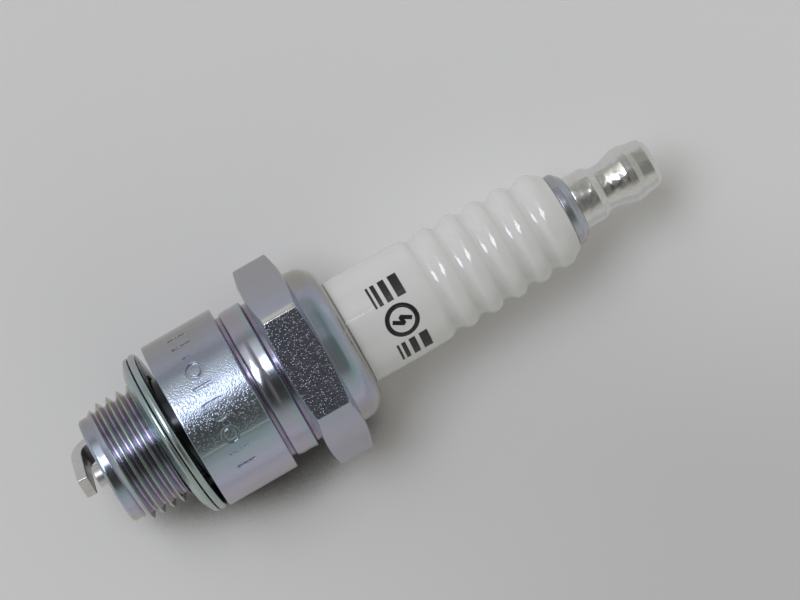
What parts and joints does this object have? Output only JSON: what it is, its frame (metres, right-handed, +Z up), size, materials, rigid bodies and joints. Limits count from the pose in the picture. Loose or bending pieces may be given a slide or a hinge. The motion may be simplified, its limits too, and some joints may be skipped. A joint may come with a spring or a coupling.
{
  "type": "spark plug",
  "caption": "Short-reach 14 mm spark plug with hexagon shell, folded gasket, ribbed ceramic insulator and screw-on terminal nut, lying on a hexagon flat.",
  "frame": {"origin": "on the plug's axis, in the plane of the shell's gasket seat", "axes": "+X along the plug's axis from the threaded nose towards the terminal, +Z up and square to the hexagon flat that faces up, +Y completes the right-handed frame; the plug lies on the hexagon flat at z = -10.4 mm"},
  "size_m": [0.0704, 0.0236, 0.0208],
  "materials": {
    "plated_shell": "bright zinc plating with faint rainbow tints, finely pitted on the body and the flats",
    "plated_gasket": "smooth zinc plating, slightly green",
    "electrode_nickel": "satin nickel alloy",
    "glazed_ceramic": "white alumina with a clear glossy glaze",
    "core_copper": "plain copper, hidden inside",
    "seal_glass": "fused conductive glass, hidden inside",
    "plated_stud": "smooth plated steel, blue grey",
    "nut_aluminium": "bright turned aluminium",
    "packing_steel": "plain steel, hidden inside",
    "talc_powder": "pressed powder, hidden inside"
  },
  "bodies": {
    "root": {"metal_shell": "plated_shell", "ground_electrode": "electrode_nickel", "insulator": "glazed_ceramic", "centre_electrode": "electrode_nickel", "electrode_core": "core_copper", "glass_seal": "seal_glass", "terminal_stud": "plated_stud", "seat_washer": "packing_steel", "lower_packing_ring": "packing_steel", "talc_ring": "talc_powder", "upper_packing_ring": "packing_steel"},
    "sealing_ring": {"gasket": "plated_gasket"},
    "nut": {"terminal_nut": "nut_aluminium"}
  },
  "joints": [
    {"name": "gasket_play", "type": "slide", "parent": "root", "child": "sealing_ring", "axis": [1, 0, 0], "range_m": [-0.0009, 0.00004]},
    {"name": "terminal_nut_off", "type": "slide", "parent": "root", "child": "nut", "axis": [1, 0, 0], "range_m": [0, 0.0095]}
  ]
}
